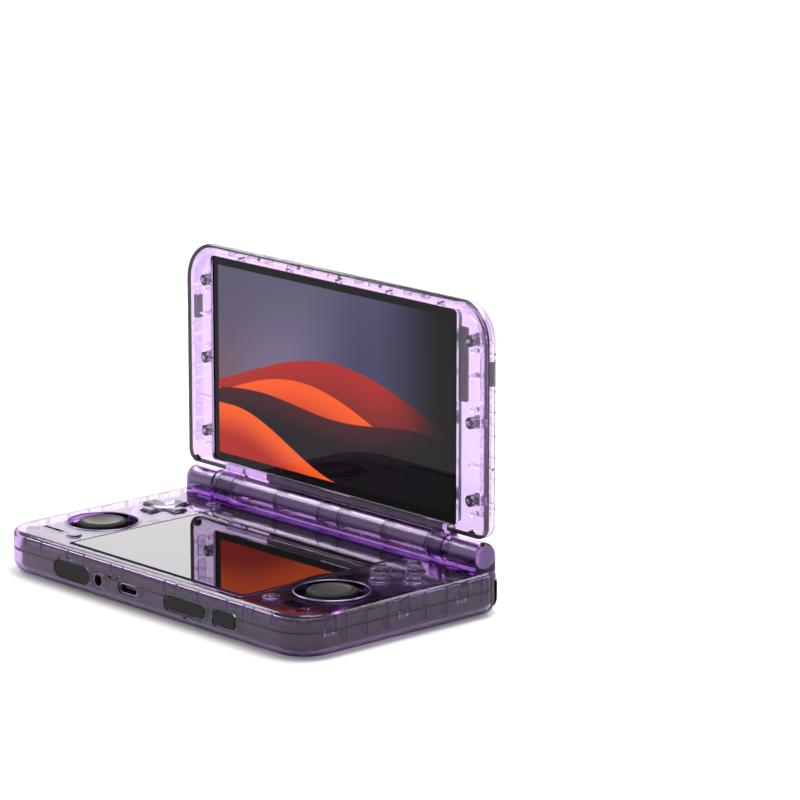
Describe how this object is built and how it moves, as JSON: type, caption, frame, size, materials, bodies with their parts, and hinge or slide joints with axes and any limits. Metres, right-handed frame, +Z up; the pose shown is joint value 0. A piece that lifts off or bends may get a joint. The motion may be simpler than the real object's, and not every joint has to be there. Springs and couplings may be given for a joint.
{
  "type": "clamshell handheld game console",
  "caption": "See-through purple clamshell handheld with two displays, thumb sticks, a cross pad, face and shoulder buttons, and a hinged lid.",
  "frame": {"origin": "under the middle of the base, on the surface that the feet stand on", "axes": "+X to the player's right, along the hinge; +Y away from the player, to the hinge; +Z up; the lid stands open at a right angle"},
  "size_m": [0.15, 0.087, 0.0998],
  "materials": {
    "clear_purple": "see-through purple, glossy",
    "smoke_plastic": "smoky grey, satin",
    "board": "solder mask, satin",
    "black_plastic": "moulded, fine grain",
    "silicone": "soft, dark",
    "black_glass": "polished",
    "panel": "smooth",
    "steel": "satin",
    "copper": "satin",
    "black_rubber": "soft, matt",
    "clear_keys": "clear, glossy"
  },
  "bodies": {
    "base": {"bottom_shell": "clear_purple", "top_shell": "clear_purple", "mid_frame": "smoke_plastic", "main_board": "board", "battery": "black_plastic", "button_boards": "board", "button_mats": "silicone", "stick_housings": "smoke_plastic", "lower_glass": "black_glass", "lower_display": "panel", "speakers": "black_plastic", "audio_jack": "black_plastic", "usb_port": "steel", "card_socket": "steel", "fan_housing": "black_plastic", "heat_sink": "copper", "vent_grille": "black_plastic", "hinge_cores": "steel", "hinge_rings": "clear_purple", "shoulder_pins": "steel", "feet": "black_rubber", "base_screws": "steel"},
    "lid": {"lid_frame": "clear_purple", "lid_cover": "clear_purple", "lid_barrel": "clear_purple", "upper_glass": "black_glass", "upper_display": "panel", "lid_backplate": "panel", "lid_board": "board", "lid_magnets": "steel", "lid_bumpers": "black_rubber", "lid_screws": "steel"},
    "stick_carriage_left": {"stick_carriage_left": "black_plastic"},
    "stick_gimbal_left": {"stick_gimbal_left": "steel"},
    "stick_left": {"stick_left": "black_rubber"},
    "stick_carriage_right": {"stick_carriage_right": "black_plastic"},
    "stick_gimbal_right": {"stick_gimbal_right": "steel"},
    "stick_right": {"stick_right": "black_rubber"},
    "dpad_pivot": {"dpad_pivot": "steel"},
    "dpad": {"dpad": "clear_keys"},
    "face_button_north": {"face_button_north": "clear_keys"},
    "face_button_east": {"face_button_east": "clear_keys"},
    "face_button_south": {"face_button_south": "clear_keys"},
    "face_button_west": {"face_button_west": "clear_keys"},
    "small_button_front_left": {"small_button_front_left": "clear_keys"},
    "small_button_front_right": {"small_button_front_right": "clear_keys"},
    "small_button_rear_left": {"small_button_rear_left": "clear_keys"},
    "small_button_rear_right": {"small_button_rear_right": "clear_keys"},
    "volume_rocker": {"volume_rocker": "black_plastic"},
    "power_button": {"power_button": "black_plastic"},
    "card_door": {"card_door": "black_rubber"},
    "shoulder_inner_left": {"shoulder_inner_left": "black_plastic"},
    "shoulder_inner_right": {"shoulder_inner_right": "black_plastic"},
    "shoulder_outer_left": {"shoulder_outer_left": "black_plastic"},
    "shoulder_outer_right": {"shoulder_outer_right": "black_plastic"},
    "fan_rotor": {"fan_rotor": "black_plastic"}
  },
  "joints": [
    {"name": "lid_hinge", "type": "hinge", "parent": "base", "child": "lid", "pos_m": [0, 0.0375, 0.0182], "axis": [-1, 0, 0], "range_deg": [-90, 90]},
    {"name": "stick_press_left", "type": "slide", "parent": "base", "child": "stick_carriage_left", "axis": [0, 0, 1], "range_m": [-0.0005, 0], "stiffness_N_per_m": 3000, "springref_m": 0.0006},
    {"name": "stick_tilt_y_left", "type": "hinge", "parent": "stick_carriage_left", "child": "stick_gimbal_left", "pos_m": [-0.0564, -0.0143, 0.006], "axis": [1, 0, 0], "range_deg": [-12, 12], "stiffness_Nm_per_rad": 0.03},
    {"name": "stick_tilt_x_left", "type": "hinge", "parent": "stick_gimbal_left", "child": "stick_left", "pos_m": [-0.0564, -0.0143, 0.006], "axis": [0, 1, 0], "range_deg": [-12, 12], "stiffness_Nm_per_rad": 0.03},
    {"name": "stick_press_right", "type": "slide", "parent": "base", "child": "stick_carriage_right", "axis": [0, 0, 1], "range_m": [-0.0005, 0], "stiffness_N_per_m": 3000, "springref_m": 0.0006},
    {"name": "stick_tilt_y_right", "type": "hinge", "parent": "stick_carriage_right", "child": "stick_gimbal_right", "pos_m": [0.0564, -0.0143, 0.006], "axis": [1, 0, 0], "range_deg": [-12, 12], "stiffness_Nm_per_rad": 0.03},
    {"name": "stick_tilt_x_right", "type": "hinge", "parent": "stick_gimbal_right", "child": "stick_right", "pos_m": [0.0564, -0.0143, 0.006], "axis": [0, -1, 0], "range_deg": [-12, 12], "stiffness_Nm_per_rad": 0.03},
    {"name": "dpad_rock_y", "type": "hinge", "parent": "base", "child": "dpad_pivot", "pos_m": [-0.057, 0.0124, 0.0114], "axis": [1, 0, 0], "range_deg": [-2.8, 2.8], "stiffness_Nm_per_rad": 0.1},
    {"name": "dpad_rock_x", "type": "hinge", "parent": "dpad_pivot", "child": "dpad", "pos_m": [-0.057, 0.0124, 0.0114], "axis": [0, 1, 0], "range_deg": [-2.8, 2.8], "stiffness_Nm_per_rad": 0.1},
    {"name": "face_button_north_press", "type": "slide", "parent": "base", "child": "face_button_north", "axis": [0, 0, 1], "range_m": [-0.0007, 0], "stiffness_N_per_m": 1500, "springref_m": 0.0004},
    {"name": "face_button_east_press", "type": "slide", "parent": "base", "child": "face_button_east", "axis": [0, 0, 1], "range_m": [-0.0007, 0], "stiffness_N_per_m": 1500, "springref_m": 0.0004},
    {"name": "face_button_south_press", "type": "slide", "parent": "base", "child": "face_button_south", "axis": [0, 0, 1], "range_m": [-0.0007, 0], "stiffness_N_per_m": 1500, "springref_m": 0.0004},
    {"name": "face_button_west_press", "type": "slide", "parent": "base", "child": "face_button_west", "axis": [0, 0, 1], "range_m": [-0.0007, 0], "stiffness_N_per_m": 1500, "springref_m": 0.0004},
    {"name": "small_button_front_left_press", "type": "slide", "parent": "base", "child": "small_button_front_left", "axis": [0, 0, 1], "range_m": [-0.0005, 0], "stiffness_N_per_m": 1500, "springref_m": 0.0004},
    {"name": "small_button_front_right_press", "type": "slide", "parent": "base", "child": "small_button_front_right", "axis": [0, 0, 1], "range_m": [-0.0005, 0], "stiffness_N_per_m": 1500, "springref_m": 0.0004},
    {"name": "small_button_rear_left_press", "type": "slide", "parent": "base", "child": "small_button_rear_left", "axis": [0, 0, 1], "range_m": [-0.0005, 0], "stiffness_N_per_m": 1500, "springref_m": 0.0004},
    {"name": "small_button_rear_right_press", "type": "slide", "parent": "base", "child": "small_button_rear_right", "axis": [0, 0, 1], "range_m": [-0.0005, 0], "stiffness_N_per_m": 1500, "springref_m": 0.0004},
    {"name": "volume_rock", "type": "hinge", "parent": "base", "child": "volume_rocker", "pos_m": [0.0201, -0.0398, 0.007], "axis": [0, 0, 1], "range_deg": [-2.5, 2.5], "stiffness_Nm_per_rad": 0.15},
    {"name": "power_press", "type": "slide", "parent": "base", "child": "power_button", "axis": [0, 1, 0], "range_m": [0, 0.0004], "stiffness_N_per_m": 2000, "springref_m": -0.0004},
    {"name": "card_door_pull", "type": "slide", "parent": "base", "child": "card_door", "axis": [0, -1, 0], "range_m": [0, 0.005]},
    {"name": "shoulder_inner_left_press", "type": "hinge", "parent": "base", "child": "shoulder_inner_left", "pos_m": [-0.0529, 0.0394, 0.0099], "axis": [1, 0, 0], "range_deg": [-6, 0], "stiffness_Nm_per_rad": 0.08, "springref_deg": 2.86},
    {"name": "shoulder_inner_right_press", "type": "hinge", "parent": "base", "child": "shoulder_inner_right", "pos_m": [0.0529, 0.0394, 0.0099], "axis": [1, 0, 0], "range_deg": [-6, 0], "stiffness_Nm_per_rad": 0.08, "springref_deg": 2.86},
    {"name": "shoulder_outer_left_press", "type": "hinge", "parent": "base", "child": "shoulder_outer_left", "pos_m": [-0.066, 0.0394, 0.0099], "axis": [1, 0, 0], "range_deg": [-6, 0], "stiffness_Nm_per_rad": 0.08, "springref_deg": 2.86},
    {"name": "shoulder_outer_right_press", "type": "hinge", "parent": "base", "child": "shoulder_outer_right", "pos_m": [0.066, 0.0394, 0.0099], "axis": [1, 0, 0], "range_deg": [-6, 0], "stiffness_Nm_per_rad": 0.08, "springref_deg": 2.86},
    {"name": "fan_spin", "type": "hinge", "parent": "base", "child": "fan_rotor", "pos_m": [0.01, 0.0165, 0.005], "axis": [0, 0, 1], "continuous": true}
  ]
}
